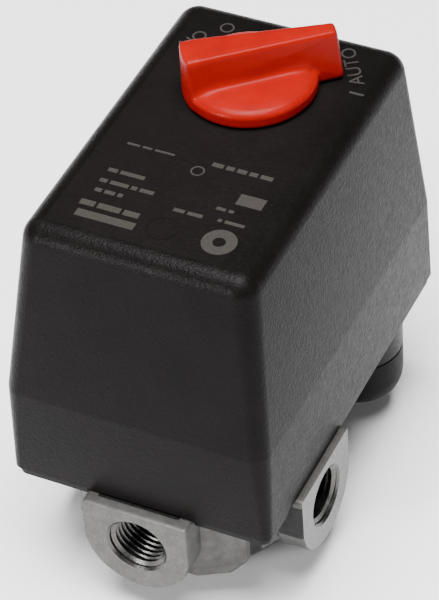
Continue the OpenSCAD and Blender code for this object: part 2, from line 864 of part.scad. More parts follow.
cover();
base();
manifold();
manifold_screws();
cover_screws();
diaphragm();
pressure_plate();
frame();
rocker_lever();
pivot_pin();
pivot_clips();
spring_seat();
range_spring();
range_nut();
range_screw();
diff_spring();
diff_nut();
diff_screw();
contact_block();
fixed_contacts();
contact_carrier();
bridge_contacts();
contact_spring();
terminal_plates();
terminal_screws();
earth_screws();
knob();
selector_shaft();
shaft_clip();
detent_spring();
off_slider();
gland_nut_left();
gland_nut_right();
gland_seals();
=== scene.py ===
"""Pressure switch for a small compressor, with its visible pieces modelled in detail."""
import math

import bmesh
import bpy
from bpy.props import FloatProperty, FloatVectorProperty, IntProperty, PointerProperty
from bpy.types import Operator, Panel, PropertyGroup
from mathutils import Matrix, Vector


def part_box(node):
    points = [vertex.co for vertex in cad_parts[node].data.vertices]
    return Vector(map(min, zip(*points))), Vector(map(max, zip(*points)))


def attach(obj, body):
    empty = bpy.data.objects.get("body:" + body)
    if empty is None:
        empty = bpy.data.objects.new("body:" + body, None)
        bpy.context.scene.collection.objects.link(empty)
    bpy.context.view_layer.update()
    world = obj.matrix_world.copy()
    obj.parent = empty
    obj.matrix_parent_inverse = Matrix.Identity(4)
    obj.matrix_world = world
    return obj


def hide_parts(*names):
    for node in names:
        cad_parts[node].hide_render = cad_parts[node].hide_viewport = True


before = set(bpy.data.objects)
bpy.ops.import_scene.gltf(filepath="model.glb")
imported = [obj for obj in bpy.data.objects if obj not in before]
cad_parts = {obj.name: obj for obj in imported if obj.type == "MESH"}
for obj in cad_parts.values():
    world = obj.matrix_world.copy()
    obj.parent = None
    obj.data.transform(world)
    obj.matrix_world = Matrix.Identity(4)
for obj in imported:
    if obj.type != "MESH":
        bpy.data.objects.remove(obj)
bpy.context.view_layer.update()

bl_info = {
    "name": "Pressure switch",
    "version": (1, 0, 0),
    "blender": (4, 5, 0),
    "location": "3D View > Sidebar > Pressure switch",
    "description": "Models the cover, selector, manifold and cable entries of a pressure switch",
    "category": "Add Mesh",
}

MM = 0.001
FINE = 1e-6
COVER_LOW, COVER_HIGH = (Vector(c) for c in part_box("cover"))
BASE_LOW, BASE_HIGH = (Vector(c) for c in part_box("base"))
KNOB_LOW, KNOB_HIGH = (Vector(c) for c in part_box("knob"))
SHAFT_LOW, SHAFT_HIGH = (Vector(c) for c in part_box("selector_shaft"))
CAST_LOW, CAST_HIGH = (Vector(c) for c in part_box("manifold"))
NUT_LOW, NUT_HIGH = (Vector(c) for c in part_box("gland_nut_right"))
SCREW_LOW, SCREW_HIGH = (Vector(c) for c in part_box("cover_screws"))
KNOB_Y = (SHAFT_LOW.y + SHAFT_HIGH.y) / 2
GLAND_X = (NUT_LOW.x + NUT_HIGH.x) / 2
GLAND_Y = (NUT_LOW.y + NUT_HIGH.y) / 2
GLAND_R = (NUT_HIGH.x - NUT_LOW.x) / 2
HEAD_R = 3.2 * MM
SCREW_PLACES = [(side * (SCREW_HIGH.x - HEAD_R), y) for side in (-1, 1)
                for y in (SCREW_LOW.y + HEAD_R, SCREW_HIGH.y - HEAD_R)]
# The height at which the casting meets the base, and the clear space around what passes through.
SEAT_Z = 28 * MM
GAP = 0.3 * MM
# The casting's bowl and the half width and rear edge of its web.
BOWL_R = 25.4 * MM
WEB_X = 19.8 * MM
WEB_BACK = -8 * MM


class CoverSizes(PropertyGroup):
    """Sizes of the cover."""
    skirt: FloatProperty(name="Skirt", description="Height of the upright part below the crease",
                         default=23 * MM, unit="LENGTH")
    wall: FloatProperty(name="Wall", description="Thickness of the wall",
                        default=2.2 * MM, unit="LENGTH")
    side_lean: FloatProperty(name="Side lean", description="How far each side leans in",
                             default=3.6 * MM, unit="LENGTH")
    front_lean: FloatProperty(name="Front lean", description="How far the front leans in",
                              default=6.4 * MM, unit="LENGTH")
    back_lean: FloatProperty(name="Back lean", description="How far the back leans in",
                             default=1.6 * MM, unit="LENGTH")
    corner: FloatProperty(name="Corner", description="Plan radius of the corners at the crease",
                          default=4 * MM, unit="LENGTH")
    foot_corner: FloatProperty(name="Foot corner", default=2.2 * MM, unit="LENGTH",
                               description="Plan radius of the corners at the bottom edge")
    top_round: FloatProperty(name="Top edge", description="Radius of the rounded top edge",
                             default=5 * MM, unit="LENGTH")


class KnobSizes(PropertyGroup):
    """Sizes of the selector knob."""
    skirt_r: FloatProperty(name="Skirt radius", description="Radius of the round skirt",
                           default=14.4 * MM, unit="LENGTH")
    skirt_h: FloatProperty(name="Skirt height", description="Height of the skirt at its middle",
                           default=4.4 * MM, unit="LENGTH")
    reach: FloatProperty(name="Pointer", description="Reach of the pointer at its top",
                         default=18.6 * MM, unit="LENGTH")
    heel: FloatProperty(name="Heel width", description="Half the width of the handle's heel",
                        default=4.2 * MM, unit="LENGTH")
    tip: FloatProperty(name="Tip width", description="Half the width of the pointer's tip",
                       default=1.8 * MM, unit="LENGTH")
    turn: FloatProperty(name="Turn", description="Direction of the pointer when switched on",
                        default=math.radians(36), subtype="ANGLE")


class CastingSizes(PropertyGroup):
    """Sizes of the manifold casting and its threads."""
    port_z: FloatProperty(name="Port height", description="Height of the side ports' axes",
                          default=20.3 * MM, unit="LENGTH")
    boss_r: FloatProperty(name="Boss radius", description="Radius of the port bosses",
                          default=12.2 * MM, unit="LENGTH")
    boss_t: FloatProperty(name="Boss thickness", description="Thickness of the port bosses",
                          default=6.2 * MM, unit="LENGTH")
    root_r: FloatProperty(name="Thread root", description="Radius to the bottom of the thread",
                          default=6.58 * MM, unit="LENGTH")
    crest_r: FloatProperty(name="Thread crest", description="Radius to the crest of the thread",
                           default=5.72 * MM, unit="LENGTH")
    mouth_r: FloatProperty(name="Mouth", description="Radius of the countersink",
                           default=7.1 * MM, unit="LENGTH")
    pitch: FloatProperty(name="Pitch", description="Pitch of the thread",
                         default=1.337 * MM, unit="LENGTH")
    turns: IntProperty(name="Turns", description="Turns of thread in a port", default=8)


class Colours(PropertyGroup):
    """Colours of the visible finishes."""
    cover: FloatVectorProperty(name="Cover", description="Colour of the cover", size=3,
                               subtype="COLOR", default=(0.0038, 0.0032, 0.0031))
    base: FloatVectorProperty(name="Base", description="Colour of the base", size=3,
                              subtype="COLOR", default=(0.0042, 0.0040, 0.0041))
    knob: FloatVectorProperty(name="Knob", description="Colour of the selector knob", size=3,
                              subtype="COLOR", default=(0.23, 0.0035, 0.0018))
    casting: FloatVectorProperty(name="Casting", description="Colour of the casting", size=3,
                                 subtype="COLOR", default=(0.092, 0.090, 0.088))
    ink: FloatVectorProperty(name="Ink", description="Colour of the printing", size=3,
                             subtype="COLOR", default=(0.021, 0.018, 0.0155))


# ---------------------------------------------------------------- modelling helpers
def only(obj):
    """Select one object and nothing else."""
    if bpy.context.object and bpy.context.object.mode != "OBJECT":
        bpy.ops.object.mode_set(mode="OBJECT")
    bpy.ops.object.select_all(action="DESELECT")
    obj.select_set(True)
    bpy.context.view_layer.objects.active = obj
    return obj


def settle(obj):
    """Put an object's place into its mesh."""
    only(obj)
    bpy.ops.object.transform_apply(location=True, rotation=True, scale=True)
    return obj


def edit(obj, kind="FACE"):
    """Open an object in edit mode with nothing selected."""
    only(obj)
    bpy.ops.object.mode_set(mode="EDIT")
    bpy.ops.mesh.select_mode(type=kind)
    bpy.ops.mesh.select_all(action="DESELECT")


def done():
    """Leave edit mode."""
    bpy.ops.object.mode_set(mode="OBJECT")


def pick(obj, test, kind="FACE"):
    """Select faces by middle and normal, edges by middle and direction, or vertices by place."""
    mesh = bmesh.from_edit_mesh(obj.data)
    if kind == "FACE":
        for f in mesh.faces:
            if test(f.calc_center_median(), f.normal):
                f.select_set(True)
    elif kind == "EDGE":
        for e in mesh.edges:
            a, b = (v.co for v in e.verts)
            if test((a + b) / 2, (b - a).normalized()):
                e.select_set(True)
    else:
        for v in mesh.verts:
            if test(v.co):
                v.select_set(True)
    mesh.select_flush_mode()
    bmesh.update_edit_mesh(obj.data)


def modify(obj, kind, **settings):
    """Add a modifier and apply it."""
    only(obj)
    mod = obj.modifiers.new(kind.title(), kind)
    for key, value in settings.items():
        setattr(mod, key, value)
    bpy.ops.object.modifier_apply(modifier=mod.name)
    return obj


def combine(obj, tool, how):
    """Add, cut or keep what two closed shapes share; the tool is used up."""
    modify(obj, "BOOLEAN", object=tool, operation=how, solver="EXACT",
           material_mode="TRANSFER")
    bpy.data.objects.remove(tool, do_unlink=True)
    return obj


def join(pieces, name):
    """Join pieces into one object."""
    only(pieces[0])
    for p in pieces[1:]:
        p.select_set(True)
    bpy.ops.object.join()
    pieces[0].name = name
    return pieces[0]


def tidy(obj, angle=35):
    """Merge doubles, point the faces outwards and shade by angle."""
    edit(obj, "VERT")
    bpy.ops.mesh.select_all(action="SELECT")
    bpy.ops.mesh.remove_doubles(threshold=FINE)
    bpy.ops.mesh.normals_make_consistent(inside=False)
    done()
    only(obj)
    bpy.ops.object.shade_smooth_by_angle(angle=math.radians(angle))
    return obj


def place(obj, name, body, slot, *nodes):
    """Name a finished piece and tie it to the frame."""
    obj.name = obj.data.name = name
    settle(obj)
    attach(obj, body)
    if nodes:
        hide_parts(*nodes)
    return obj


def copy_of(obj, matrix):
    """Copy a piece with a mesh of its own, moved by a matrix."""
    twin = obj.copy()
    twin.data = obj.data.copy()
    bpy.context.scene.collection.objects.link(twin)
    twin.matrix_world = matrix
    return settle(twin)


def block(low, high, bevel=0.0, segments=2):
    """A box between two corners with rounded edges."""
    low, high = Vector(low), Vector(high)
    bpy.ops.mesh.primitive_cube_add(size=1, location=(low + high) / 2)
    obj = bpy.context.object
    obj.scale = high - low
    settle(obj)
    if bevel:
        edit(obj, "EDGE")
        bpy.ops.mesh.select_all(action="SELECT")
        bpy.ops.mesh.bevel(offset=bevel, segments=segments, affect="EDGES")
        done()
    return obj


def turned(profile, sides, centre=(0, 0), tube=False, twist=0.0):
    """Build a round shape upwards: a disc is extruded and resized for each radius and height."""
    r, z = profile[0]
    x, y = centre
    bpy.ops.mesh.primitive_circle_add(vertices=sides, radius=r, fill_type="NGON",
                                      location=(x, y, z), rotation=(0, 0, twist))
    obj = settle(bpy.context.object)
    edit(obj, "VERT")
    bpy.ops.mesh.select_all(action="SELECT")
    for next_r, next_z in profile[1:]:
        bpy.ops.mesh.extrude_region_move(TRANSFORM_OT_translate={"value": (0, 0, next_z - z)})
        bpy.ops.transform.resize(value=(next_r / r, next_r / r, 1),
                                 center_override=(x, y, next_z))
        r, z = next_r, next_z
    if tube:
        bpy.ops.mesh.select_mode(type="FACE")
        bpy.ops.mesh.select_all(action="DESELECT")
        mesh = bmesh.from_edit_mesh(obj.data)
        for f in mesh.faces:
            f.select_set(len(f.verts) == sides)
        bmesh.update_edit_mesh(obj.data)
        bpy.ops.mesh.delete(type="FACE")
        bpy.ops.mesh.select_mode(type="EDGE")
        bpy.ops.mesh.select_non_manifold()
        bpy.ops.mesh.bridge_edge_loops()
    done()
    return obj


class Outline:
    """A round-cornered outline at one height."""

    def __init__(self, x, y0, y1, r, z):
        self.x, self.y0, self.y1, self.r, self.z = x, y0, y1, r, z

    def arc(self, sx, sy):
        """The centre of one corner's arc."""
        return Vector((sx * (self.x - self.r),
                       self.y1 - self.r if sy > 0 else self.y0 + self.r, self.z))


QUARTERS = ((-1, -1), (-1, 1), (1, -1), (1, 1))


def move_quarters(obj, middle, ring, old, new):
    """Resize and move each quarter of a ring from one outline's corners to the next one's."""
    for sx, sy in QUARTERS:
        bpy.ops.mesh.select_all(action="DESELECT")
        mesh = bmesh.from_edit_mesh(obj.data)
        mesh.verts.ensure_lookup_table()
        for i in ring:
            v = mesh.verts[i]
            if (v.co.x - middle.x) * sx > 0 and (v.co.y - middle.y) * sy > 0:
                v.select_set(True)
        bmesh.update_edit_mesh(obj.data)
        was, now = old(sx, sy), new.arc(sx, sy)
        k = new.r / old.r
        bpy.ops.transform.resize(value=(k, k, 1), center_override=was)
        bpy.ops.transform.translate(value=now - was)
    mesh = bmesh.from_edit_mesh(obj.data)
    mesh.verts.ensure_lookup_table()
    for i in ring:
        mesh.verts[i].select_set(True)
    mesh.select_flush_mode()
    bmesh.update_edit_mesh(obj.data)


class Middle:
    """The arc centre of a plain circle, which is the same for all its quarters."""

    def __init__(self, r, at):
        self.r, self.at = r, at

    def __call__(self, sx, sy):
        return self.at


class Lifted:
    """The arc centres of an outline, lifted to the height of the next one."""

    def __init__(self, outline, z):
        self.r, self.outline, self.z = outline.r, outline, z

    def __call__(self, sx, sy):
        c = self.outline.arc(sx, sy)
        return Vector((c.x, c.y, self.z))


def stacked(outlines, per_corner=9):
    """Build a closed shell from outlines, one extrusion for each."""
    first = outlines[0]
    middle = Vector((0, (first.y0 + first.y1) / 2, first.z))
    count = 4 * per_corner
    bpy.ops.mesh.primitive_circle_add(vertices=count, radius=first.r, fill_type="NGON",
                                      location=middle, rotation=(0, 0, math.pi / count))
    obj = settle(bpy.context.object)
    edit(obj, "VERT")
    move_quarters(obj, middle, range(count), Middle(first.r, middle), first)
    old = first
    for new in outlines[1:]:
        bpy.ops.mesh.extrude_region_move(
            TRANSFORM_OT_translate={"value": (0, 0, new.z - old.z)})
        mesh = bmesh.from_edit_mesh(obj.data)
        mesh.verts.index_update()
        ring = [v.index for v in mesh.verts if v.select]
        move_quarters(obj, middle, ring, Lifted(old, new.z), new)
        old = new
    done()
    return obj


# ---------------------------------------------------------------- finishes
class Finish:
    """A procedural finish on object coordinates, built up node by node."""

    def __init__(self, name, rough, metallic=0.0, specular=0.5):
        self.mat = bpy.data.materials.new(name)
        self.mat.use_nodes = True
        self.tree = self.mat.node_tree
        self.shader = self.tree.nodes["Principled BSDF"]
        self.shader.inputs["Roughness"].default_value = rough
        self.shader.inputs["Metallic"].default_value = metallic
        self.shader.inputs["Specular IOR Level"].default_value = specular
        self.place = self.tree.nodes.new("ShaderNodeTexCoord").outputs["Object"]
        self.normal = None

    def node(self, kind, **settings):
        made = self.tree.nodes.new(kind)
        for key, value in settings.items():
            setattr(made, key, value)
        return made

    def link(self, a, b):
        self.tree.links.new(a, b)

    def noise(self, size, detail=3.0, rough=0.55, stretch=(1, 1, 1)):
        """Noise whose features are about `size` metres across."""
        mapping = self.node("ShaderNodeMapping")
        mapping.inputs["Scale"].default_value = stretch
        self.link(self.place, mapping.inputs["Vector"])
        tex = self.node("ShaderNodeTexNoise")
        tex.inputs["Scale"].default_value = 1 / size
        tex.inputs["Detail"].default_value = detail
        tex.inputs["Roughness"].default_value = rough
        self.link(mapping.outputs["Vector"], tex.inputs["Vector"])
        return tex.outputs["Fac"]

    def cells(self, size):
        """Rounded cells about `size` metres across."""
        tex = self.node("ShaderNodeTexVoronoi", feature="SMOOTH_F1")
        tex.inputs["Scale"].default_value = 1 / size
        self.link(self.place, tex.inputs["Vector"])
        return tex.outputs["Distance"]

    def spread(self, value, low, high, start=0.3, end=0.7):
        """Map a texture's value onto a range."""
        made = self.node("ShaderNodeMapRange")
        made.inputs["From Min"].default_value = start
        made.inputs["From Max"].default_value = end
        made.inputs["To Min"].default_value = low
        made.inputs["To Max"].default_value = high
        self.link(value, made.inputs["Value"])
        return made.outputs["Result"]

    def mix(self, fac, a, b):
        """Mix two colours, each a colour or an output."""
        made = self.node("ShaderNodeMix", data_type="RGBA")
        self.link(fac, made.inputs["Factor"])
        for socket, value in ((made.inputs[6], a), (made.inputs[7], b)):
            if hasattr(value, "is_linked"):
                self.link(value, socket)
            else:
                socket.default_value = (*value, 1)
        return made.outputs[2]

    def colour(self, out):
        self.link(out, self.shader.inputs["Base Color"])
        return self

    def roughness(self, out):
        self.link(out, self.shader.inputs["Roughness"])
        return self

    def bump(self, height, depth, strength=1.0):
        """Add a layer of relief, `depth` metres deep."""
        made = self.node("ShaderNodeBump")
        made.inputs["Strength"].default_value = strength
        made.inputs["Distance"].default_value = depth
        self.link(height, made.inputs["Height"])
        if self.normal:
            self.link(self.normal, made.inputs["Normal"])
        self.normal = made.outputs["Normal"]
        self.link(self.normal, self.shader.inputs["Normal"])
        return self

    def underside(self, most):
        """How far a face looks down, from 0 on upright faces up to `most`: the mask for painted
        shade under things.
        """
        split = self.node("ShaderNodeSeparateXYZ")
        self.link(self.node("ShaderNodeNewGeometry").outputs["Normal"], split.inputs[0])
        return self.spread(split.outputs["Z"], 0, most, -0.12, -0.75)

    def edges(self, start=0.52, end=0.62):
        """White on outer edges and black elsewhere: the mask for painted highlights on convex
        edges.
        """
        geo = self.node("ShaderNodeNewGeometry")
        return self.spread(geo.outputs["Pointiness"], 0.0, 1.0, start, end)


def tinted(colour, k):
    """A colour made lighter or darker by a factor."""
    return tuple(min(1.0, c * k) for c in colour)


def grained(name, colour, grain=0.42 * MM, depth=0.09 * MM, rough=0.32):
    """Moulded plastic with a spark-eroded grain, and a painted highlight on its outer edges."""
    f = Finish(name, rough, specular=0.05)
    body = f.mix(f.spread(f.noise(9 * MM, 2), 0, 1), tinted(colour, 0.86), tinted(colour, 1.16))
    specks = f.spread(f.noise(grain * 0.8, 2, 0.7), 0, 0.5, 0.56, 0.70)
    body = f.mix(specks, body, tinted(colour, 2.1))
    # Outer edges are lightened towards 3.2 times the colour: a painted highlight.
    f.colour(f.mix(f.spread(f.edges(), 0, 0.22, 0, 1), body, tinted(colour, 3.2)))
    f.roughness(f.spread(f.noise(1.4 * MM, 4), rough - 0.06, rough + 0.08))
    f.bump(f.noise(grain, 3, 0.6), depth)
    f.bump(f.cells(grain * 1.7), depth * 0.6)
    return f.mat


def smooth_plastic(name, colour, rough=0.38, specular=0.1):
    """Moulded plastic with a fine satin skin, and a painted highlight on its outer edges."""
    f = Finish(name, rough, specular=specular)
    body = f.mix(f.spread(f.noise(7 * MM, 3), 0, 1), tinted(colour, 0.9), tinted(colour, 1.08))
    # Outer edges are lightened towards 1.35 times the colour: a painted highlight.
    f.colour(f.mix(f.spread(f.edges(), 0, 0.25, 0, 1), body, tinted(colour, 1.35)))
    f.roughness(f.spread(f.noise(1.1 * MM, 4), rough - 0.05, rough + 0.07))
    f.bump(f.noise(0.5 * MM, 3), 0.006 * MM)
    f.bump(f.noise(5 * MM, 2), 0.03 * MM)
    return f.mat


def cast_metal(name, colour):
    """Die-cast light alloy with its matt, slightly blotchy skin; down-facing faces carry painted
    shade and outer edges a painted highlight.
    """
    f = Finish(name, 0.55, metallic=0.72, specular=0.4)
    body = f.mix(f.spread(f.noise(4 * MM, 4), 0, 1), tinted(colour, 0.72), tinted(colour, 1.12))
    pits = f.spread(f.noise(0.45 * MM, 3, 0.65), 0, 0.7, 0.54, 0.70)
    body = f.mix(pits, body, tinted(colour, 0.5))
    # Down-facing faces are darkened towards a fifth of the colour: painted shade under things.
    body = f.mix(f.underside(0.85), body, tinted(colour, 0.2))
    # Outer edges are lightened towards 1.28 times the colour: a painted highlight.
    f.colour(f.mix(f.spread(f.edges(), 0, 0.5, 0, 1), body, tinted(colour, 1.28)))
    f.roughness(f.spread(f.noise(1.6 * MM, 4), 0.46, 0.66))
    f.bump(f.noise(0.35 * MM, 4, 0.65), 0.03 * MM)
    f.bump(f.noise(2.6 * MM, 3), 0.07 * MM)
    return f.mat


def machined_metal(name, colour):
    """The same alloy turned bright, with fine tool marks."""
    f = Finish(name, 0.28, metallic=0.95)
    body = f.mix(f.spread(f.noise(3 * MM, 3), 0, 1), tinted(colour, 0.78), tinted(colour, 1.08))
    scuffs = f.spread(f.noise(0.5 * MM, 4, 0.7, stretch=(1, 1, 0.35)), 0, 0.6, 0.5, 0.68)
    f.colour(f.mix(scuffs, body, tinted(colour, 1.5)))
    f.roughness(f.spread(f.noise(0.9 * MM, 4), 0.24, 0.38))
    f.bump(f.noise(0.16 * MM, 2, stretch=(1, 1, 3)), 0.006 * MM)
    f.bump(f.noise(1.5 * MM, 3), 0.012 * MM)
    return f.mat


def plated_metal(name, colour, rough=0.3, metallic=1.0):
    """Plated or drawn metal with faint streaks."""
    f = Finish(name, rough, metallic=metallic)
    f.colour(f.mix(f.spread(f.noise(2.5 * MM, 4), 0, 1), tinted(colour, 0.82),
                   tinted(colour, 1.06)))
    f.roughness(f.spread(f.noise(0.8 * MM, 4, stretch=(1, 4, 1)), rough - 0.08, rough + 0.12))
    f.bump(f.noise(0.3 * MM, 3, stretch=(1, 5, 1)), 0.008 * MM)
    return f.mat


def soft_rubber(name, colour):
    """Moulded rubber."""
    f = Finish(name, 0.72, specular=0.3)
    f.colour(f.mix(f.spread(f.noise(3 * MM, 3), 0, 1), tinted(colour, 0.8), tinted(colour, 1.3)))
    f.roughness(f.spread(f.noise(0.7 * MM, 3), 0.64, 0.8))
    f.bump(f.noise(0.25 * MM, 3), 0.015 * MM)
    return f.mat


def ink_print(name, colour):
    """Printed ink that the grain below shows through."""
    f = Finish(name, 0.6, specular=0.3)
    worn = f.spread(f.noise(0.3 * MM, 3, 0.7), 0, 0.8, 0.52, 0.66)
    f.colour(f.mix(worn, colour, tinted(colour, 0.35)))
    f.bump(f.noise(0.28 * MM, 3, 0.6), 0.02 * MM)
    return f.mat


def pale_floor(name, colour):
    """A matt floor with barely visible clouding."""
    f = Finish(name, 0.8, specular=0.2)
    f.colour(f.mix(f.spread(f.noise(0.4, 2), 0, 1), tinted(colour, 0.985), colour))
    return f.mat


FINISHES = {}


def finish(kind):
    """Make each finish once, when it is first asked for."""
    if kind not in FINISHES:
        c = bpy.context.scene.switch_colours
        recipes = {
            "cover": lambda: grained("cover_black", tuple(c.cover)),
            "base": lambda: smooth_plastic("base_black", tuple(c.base), 0.4),
            "gland": lambda: grained("gland_black", tuple(c.base), 0.4 * MM, 0.02 * MM, 0.45),
            "knob": lambda: smooth_plastic("knob_red", tuple(c.knob), 0.30, 0.07),
            "cast": lambda: cast_metal("cast_alloy", tuple(c.casting)),
            # The bowl takes the casting finish at 0.16 of its colour: painted shade where the
            # cover and ports shadow it.
            "bowl": lambda: cast_metal("bowl_painted_shade", tinted(tuple(c.casting), 0.16)),
            "machined": lambda: machined_metal("machined_alloy", tinted(tuple(c.casting), 0.95)),
            "ink": lambda: ink_print("grey_ink", tuple(c.ink)),
            "zinc": lambda: plated_metal("zinc_plate", (0.62, 0.62, 0.60)),
            "spring": lambda: plated_metal("spring_wire", (0.42, 0.43, 0.45), 0.26),
            "brass": lambda: plated_metal("brass", (0.78, 0.58, 0.27), 0.3),
            "clip": lambda: plated_metal("black_clip", (0.10, 0.10, 0.105), 0.42, 0.8),
            "rubber": lambda: soft_rubber("seal_rubber", (0.03, 0.029, 0.028)),
            "block": lambda: smooth_plastic("cream_plastic", (0.62, 0.55, 0.42), 0.5),
            "carrier": lambda: smooth_plastic("brown_plastic", (0.27, 0.075, 0.045), 0.48),
            "slider": lambda: smooth_plastic("blue_plastic", (0.05, 0.11, 0.30), 0.45),
            "shaft": lambda: smooth_plastic("white_plastic", (0.74, 0.71, 0.62), 0.42),
        }
        FINISHES[kind] = recipes[kind]()
    return FINISHES[kind]


def wear(obj, *kinds):
    """Give an object its finishes."""
    obj.data.materials.clear()
    for kind in kinds:
        obj.data.materials.append(finish(kind))
    return obj


# ---------------------------------------------------------------- cover
def cover_rounds(c, ball, start, end, steps=9):
    """Outlines round the top edge, from one angle to another, with the given radius."""
    top = COVER_HIGH.z - c.top_round
    x = COVER_HIGH.x - c.side_lean - c.top_round
    y0 = COVER_LOW.y + c.front_lean + c.top_round
    y1 = COVER_HIGH.y - c.back_lean - c.top_round
    rings = []
    for i in range(steps + 1):
        a = math.radians(start + (end - start) * i / steps)
        r = ball * math.cos(a)
        rings.append(Outline(x + r, y0 - r, y1 + r, r, top + ball * math.sin(a)))
    return rings


def cover_outline(c, inset, z, corner):
    """The cover's outline at one height, drawn in by `inset`."""
    sharpest = 0.8 * MM
    return Outline(COVER_HIGH.x - inset, COVER_LOW.y + inset, COVER_HIGH.y - inset,
                   max(corner - inset, sharpest), z)


class MakeCover(Operator):
    """Model the tapered cover as one hollow shell with its screw posts and shaft bearing"""
    bl_idname = "pressure_switch.cover"
    bl_label = "Cover"

    def execute(self, context):
        c = context.scene.switch_cover
        low, crease, top = COVER_LOW.z, COVER_LOW.z + c.skirt, COVER_HIGH.z
        edge = 0.3 * MM
        inside = cover_rounds(c, c.top_round - c.wall, 87, 12)
        outside = cover_rounds(c, c.top_round, 12, 87.5, 11)
        shell = stacked(
            inside
            + [cover_outline(c, c.wall, crease, c.corner),
               cover_outline(c, c.wall, low, c.foot_corner),
               cover_outline(c, edge, low, c.foot_corner),
               cover_outline(c, 0, low + edge, c.foot_corner),
               cover_outline(c, 0, crease - 0.25 * MM, c.corner),
               cover_outline(c, 0.06 * MM, crease + 0.35 * MM, c.corner)]
            + outside, per_corner=10)
        tidy(shell)
        hole, bearing_low = 4.06 * MM, 82.3 * MM
        boss = turned([(7 * MM, bearing_low), (7.4 * MM, top - 1.2 * MM)], 48, (0, KNOB_Y))
        combine(shell, boss, "UNION")
        drill = turned([(hole, bearing_low - 2.3 * MM), (hole, top + 2 * MM)], 48, (0, KNOB_Y))
        combine(shell, drill, "DIFFERENCE")
        foot, screw_hole = 34.3 * MM, 1.75 * MM
        for at in SCREW_PLACES:
            post = turned(
                [(screw_hole, 46 * MM), (screw_hole, foot + 0.5 * MM), (2.2 * MM, foot),
                 (3.1 * MM, foot), (3.2 * MM, foot + 0.3 * MM), (3.3 * MM, 56 * MM)], 28, at)
            combine(shell, tidy(post), "UNION")
        tidy(shell, 32)
        place(wear(shell, "cover"), "cover_shell", "root", "cover_plastic", "cover")
        return {"FINISHED"}


# ---------------------------------------------------------------- printing
def ring_mark(x, y, outer, inner, z, height, sides=40):
    """A flat ring."""
    return turned([(outer, z), (outer, z + height), (inner, z + height), (inner, z)], sides,
                  (x, y), tube=True)


def bar_mark(x0, y0, x1, y1, z, height):
    """A flat bar."""
    return block((x0, y0, z), (x1, y1, z + height), 0.08 * MM, 1)


def word_mark(text, x, y, size, turn, z, height):
    """A short word in the plain built-in face."""
    bpy.ops.object.text_add(location=(x, y, z), rotation=(0, 0, turn))
    obj = bpy.context.object
    obj.data.body = text
    obj.data.size = size
    obj.data.extrude = height
    obj.data.align_x = obj.data.align_y = "CENTER"
    only(obj)
    bpy.ops.object.convert(target="MESH")
    return settle(bpy.context.object)


class MakeMarks(Operator):
    """Print plain bars, rings and the selector's two positions on the cover"""
    bl_idname = "pressure_switch.marks"
    bl_label = "Printing"

    # Rows of small print, in mm: the row's y, where it starts in x, its height, its bars' lengths.
    ROWS = ((-10.1, -16.6, 2.1, (13.2,)),
            (-6.9, -17.2, 1.6, (3.4, 5.2, 3.6)),
            (-2.6, -16.0, 1.1, (1.6, 2.4, 1.2)),
            (0.4, -16.4, 1.1, (1.8, 4.2, 1.4, 3.2)),
            (3.9, -16.2, 1.1, (2.2, 5.6)),
            (-2.4, 1.5, 1.0, (2.6, 3.4)),
            (1.1, 9.4, 0.9, (2.2, 1.2)),
            (-2.1, 11.2, 0.9, (1.0, 4.4)),
            (12.7, -16.2, 0.6, (3.0, 2.2, 4.6)),
            (13.0, 3.0, 1.2, (2.6, 1.9, 2.2, 1.9, 2.8)))
    SPACE = 0.55

    def execute(self, context):
        z, h = COVER_HIGH.z - 0.01 * MM, 0.05 * MM
        marks = []
        for y, x, tall, lengths in self.ROWS:
            for length in lengths:
                marks.append(bar_mark(x * MM, (y - tall / 2) * MM, (x + length) * MM,
                                      (y + tall / 2) * MM, z, h))
                x += length + self.SPACE
        marks.append(ring_mark(14.3 * MM, -8.0 * MM, 3.7 * MM, 1.35 * MM, z, h))
        marks.append(ring_mark(1.1 * MM, 10.0 * MM, 1.5 * MM, 1.15 * MM, z, h))
        marks.append(bar_mark(12.4 * MM, 3.5 * MM, 18.2 * MM, 6.8 * MM, z, h))
        marks.append(ring_mark(-12.9 * MM, 54.6 * MM, 1.6 * MM, 1.2 * MM, z, h))
        marks.append(bar_mark(19.9 * MM, 43.9 * MM, 23.2 * MM, 44.5 * MM, z, h))
        marks.append(word_mark("AUTO", 17.3 * MM, 52.3 * MM, 4.5 * MM, math.radians(123), z, h))
        marks.append(word_mark("OFF", -18.4 * MM, 48.3 * MM, 4.3 * MM, math.radians(243), z, h))
        ink = join(marks, "top_printing")
        tidy(ink)
        place(wear(ink, "ink"), "top_printing", "root", "cover_plastic")
        seat = ring_mark(1.9 * MM, -8.4 * MM, 3.4 * MM, 3.05 * MM, COVER_HIGH.z - 0.05 * MM,
                         0.14 * MM, 48)
        tick = block((6.4 * MM, 22.4 * MM, COVER_HIGH.z - 0.1 * MM),
                     (8.8 * MM, 22.9 * MM, COVER_HIGH.z + 0.15 * MM), 0.1 * MM)
        raised = join([seat, tick], "moulded_marks")
        tidy(raised)
        place(wear(raised, "cover"), "moulded_marks", "root", "cover_plastic")
        return {"FINISHED"}


